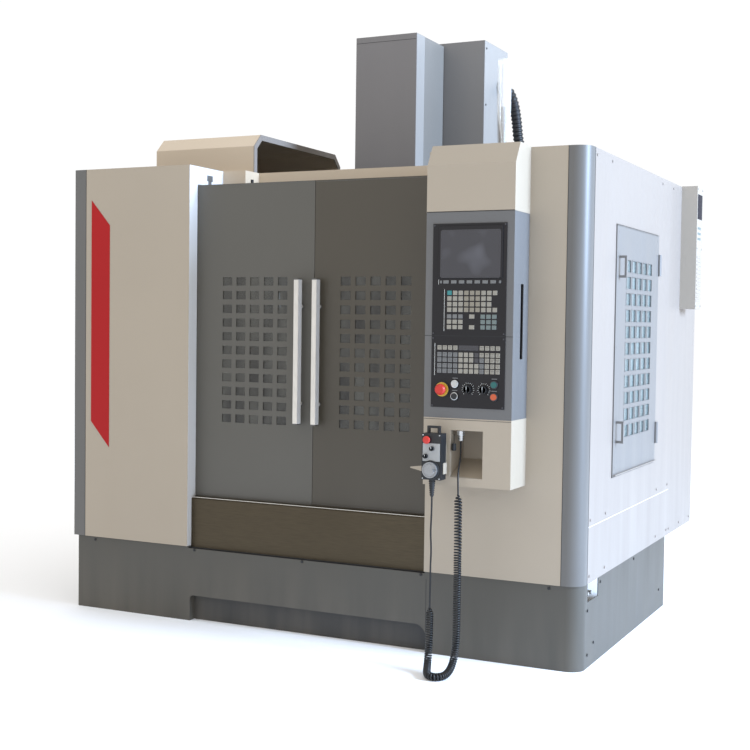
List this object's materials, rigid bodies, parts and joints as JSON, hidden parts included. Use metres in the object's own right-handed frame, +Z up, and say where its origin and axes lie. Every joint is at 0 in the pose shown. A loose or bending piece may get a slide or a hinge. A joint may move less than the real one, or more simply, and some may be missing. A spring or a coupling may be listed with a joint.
{
  "type": "vertical machining centre",
  "caption": "Enclosed vertical machining centre with sliding doors, swivel console, pendant, tool changer, slides and spindle head that move.",
  "frame": {"origin": "on the floor under the spindle axis, at the centre of the four anchor bolts", "axes": "+Z up, +X to the operator's right, +Y to the back"},
  "size_m": [2.337, 2.1738, 2.513],
  "materials": {
    "cream_paint": "powder-coated warm cream",
    "grey_paint": "powder-coated warm grey",
    "dark_paint": "powder-coated dark grey",
    "base_paint": "textured grey enamel",
    "pale_paint": "pale powder coat",
    "console_paint": "fine textured grey",
    "stainless": "brushed sheet",
    "steel": "ground steel",
    "iron": "painted casting, machined ways",
    "black_plastic": "fine textured",
    "window_plastic": "clear pane",
    "red_plastic": "moulded",
    "green_plastic": "moulded",
    "orange_plastic": "moulded",
    "white_plastic": "moulded",
    "silver": "turned",
    "cord_rubber": "smooth sheath"
  },
  "bodies": {
    "frame": {"bed_casting": "iron", "base_skirt": "base_paint", "column_casting": "iron", "column_top_cover": "cream_paint", "splash_tray": "stainless", "left_front_panel": "cream_paint", "right_front_panel": "cream_paint", "corner_strips": "dark_paint", "left_side_panel": "pale_paint", "right_side_panel": "pale_paint", "rear_panel": "pale_paint", "front_apron": "stainless", "front_header": "grey_paint", "door_rails": "steel", "toolchanger_hood": "cream_paint", "magazine_arm": "iron", "console_header_box": "cream_paint", "console_shelf_box": "cream_paint", "pendant_holder": "pale_paint", "pendant_case": "black_plastic", "pendant_leads": "cord_rubber", "pendant_curl": "cord_rubber", "cord_connector": "steel", "signal_lamp": "black_plastic", "electrical_cabinet": "pale_paint", "cabinet_cooler": "pale_paint", "head_conduit": "black_plastic"},
    "left_door": {"left_door": "grey_paint", "left_door_window": "window_plastic", "left_door_handle": "stainless"},
    "right_door": {"right_door": "grey_paint", "right_door_window": "window_plastic", "right_door_handle": "stainless"},
    "side_door": {"side_door": "pale_paint"},
    "cabinet_door": {"cabinet_door": "pale_paint"},
    "main_switch": {"main_switch": "black_plastic"},
    "saddle": {"saddle": "iron"},
    "table": {"table": "steel"},
    "x_screw": {"x_screw": "steel"},
    "y_screw": {"y_screw": "steel"},
    "z_screw": {"z_screw": "steel"},
    "head": {"head_casting": "iron", "head_cover": "grey_paint"},
    "spindle": {"spindle": "steel"},
    "magazine": {"magazine_carriage": "iron"},
    "carousel": {"carousel": "silver", "tool_holders": "steel"},
    "console": {"console_housing": "console_paint", "operator_panel": "black_plastic"},
    "console_stop_button": {"console_stop_button": "red_plastic"},
    "start_button": {"start_button": "green_plastic"},
    "hold_button": {"hold_button": "orange_plastic"},
    "power_on_button": {"power_on_button": "white_plastic"},
    "power_off_button": {"power_off_button": "black_plastic"},
    "feed_knob": {"feed_knob": "black_plastic"},
    "speed_knob": {"speed_knob": "black_plastic"},
    "pendant_dial": {"pendant_dial": "silver"},
    "pendant_axis_knob": {"pendant_axis_knob": "black_plastic"},
    "pendant_step_knob": {"pendant_step_knob": "black_plastic"},
    "pendant_stop_button": {"pendant_stop_button": "red_plastic"}
  },
  "joints": [
    {"name": "left_door_slide", "type": "slide", "parent": "frame", "child": "left_door", "axis": [-1, 0, 0], "range_m": [0, 0.465]},
    {"name": "right_door_slide", "type": "slide", "parent": "frame", "child": "right_door", "axis": [1, 0, 0], "range_m": [0, 0.465]},
    {"name": "side_door_hinge", "type": "hinge", "parent": "frame", "child": "side_door", "pos_m": [1.1413, 0.237, 1.15], "axis": [0, 0, 1], "range_deg": [0, 100]},
    {"name": "cabinet_door_hinge", "type": "hinge", "parent": "frame", "child": "cabinet_door", "pos_m": [0.564, 1.014, 1.1], "axis": [0, 0, 1], "range_deg": [0, 100]},
    {"name": "main_switch_turn", "type": "hinge", "parent": "cabinet_door", "child": "main_switch", "pos_m": [1.008, 1.02, 1.5], "axis": [0, 1, 0], "range_deg": [0, 90]},
    {"name": "saddle_slide", "type": "slide", "parent": "frame", "child": "saddle", "axis": [0, 1, 0], "range_m": [-0.2, 0.2]},
    {"name": "table_slide", "type": "slide", "parent": "saddle", "child": "table", "axis": [1, 0, 0], "range_m": [-0.325, 0.325]},
    {"name": "head_slide", "type": "slide", "parent": "frame", "child": "head", "axis": [0, 0, 1], "range_m": [-0.5, 0]},
    {"name": "y_screw_turn", "type": "hinge", "parent": "frame", "child": "y_screw", "pos_m": [0, 0, 0.61], "axis": [0, 1, 0], "continuous": true},
    {"name": "x_screw_turn", "type": "hinge", "parent": "saddle", "child": "x_screw", "pos_m": [0, 0, 0.765], "axis": [1, 0, 0], "continuous": true},
    {"name": "z_screw_turn", "type": "hinge", "parent": "frame", "child": "z_screw", "pos_m": [0, 0.41, 1.4], "axis": [0, 0, 1], "continuous": true},
    {"name": "spindle_spin", "type": "hinge", "parent": "head", "child": "spindle", "pos_m": [0, 0, 1.5], "axis": [0, 0, 1], "continuous": true},
    {"name": "magazine_slide", "type": "slide", "parent": "frame", "child": "magazine", "axis": [1, 0, 0], "range_m": [0, 0.36]},
    {"name": "carousel_turn", "type": "hinge", "parent": "magazine", "child": "carousel", "pos_m": [-0.62, 0, 1.4], "axis": [0, 0, 1], "continuous": true},
    {"name": "console_swivel", "type": "hinge", "parent": "frame", "child": "console", "pos_m": [0.593, -0.862, 1.27], "axis": [0, 0, -1], "range_deg": [0, 75]},
    {"name": "console_stop_press", "type": "slide", "parent": "console", "child": "console_stop_button", "axis": [0, 1, 0], "range_m": [0, 0.005], "stiffness_N_per_m": 800},
    {"name": "start_press", "type": "slide", "parent": "console", "child": "start_button", "axis": [0, 1, 0], "range_m": [0, 0.003], "stiffness_N_per_m": 800},
    {"name": "hold_press", "type": "slide", "parent": "console", "child": "hold_button", "axis": [0, 1, 0], "range_m": [0, 0.003], "stiffness_N_per_m": 800},
    {"name": "power_on_press", "type": "slide", "parent": "console", "child": "power_on_button", "axis": [0, 1, 0], "range_m": [0, 0.003], "stiffness_N_per_m": 800},
    {"name": "power_off_press", "type": "slide", "parent": "console", "child": "power_off_button", "axis": [0, 1, 0], "range_m": [0, 0.003], "stiffness_N_per_m": 800},
    {"name": "feed_knob_turn", "type": "hinge", "parent": "console", "child": "feed_knob", "pos_m": [0.754, -0.97, 1.012], "axis": [0, 1, 0], "range_deg": [-135, 135]},
    {"name": "speed_knob_turn", "type": "hinge", "parent": "console", "child": "speed_knob", "pos_m": [0.814, -0.97, 1.012], "axis": [0, 1, 0], "range_deg": [-135, 135]},
    {"name": "pendant_dial_turn", "type": "hinge", "parent": "frame", "child": "pendant_dial", "pos_m": [0.647, -1.04, 0.726], "axis": [0, 1, 0], "continuous": true},
    {"name": "pendant_axis_turn", "type": "hinge", "parent": "frame", "child": "pendant_axis_knob", "pos_m": [0.652, -1.04, 0.802], "axis": [0, 1, 0], "range_deg": [0, 150]},
    {"name": "pendant_step_turn", "type": "hinge", "parent": "frame", "child": "pendant_step_knob", "pos_m": [0.628, -1.04, 0.774], "axis": [0, 1, 0], "range_deg": [0, 90]},
    {"name": "pendant_stop_press", "type": "slide", "parent": "frame", "child": "pendant_stop_button", "axis": [0, 1, 0], "range_m": [0, 0.004], "stiffness_N_per_m": 800}
  ],
  "couplings": [
    {"joint": "y_screw_turn", "follows": "saddle_slide", "rad_per_m": 628.32},
    {"joint": "x_screw_turn", "follows": "table_slide", "rad_per_m": 628.32},
    {"joint": "z_screw_turn", "follows": "head_slide", "rad_per_m": 628.32}
  ]
}
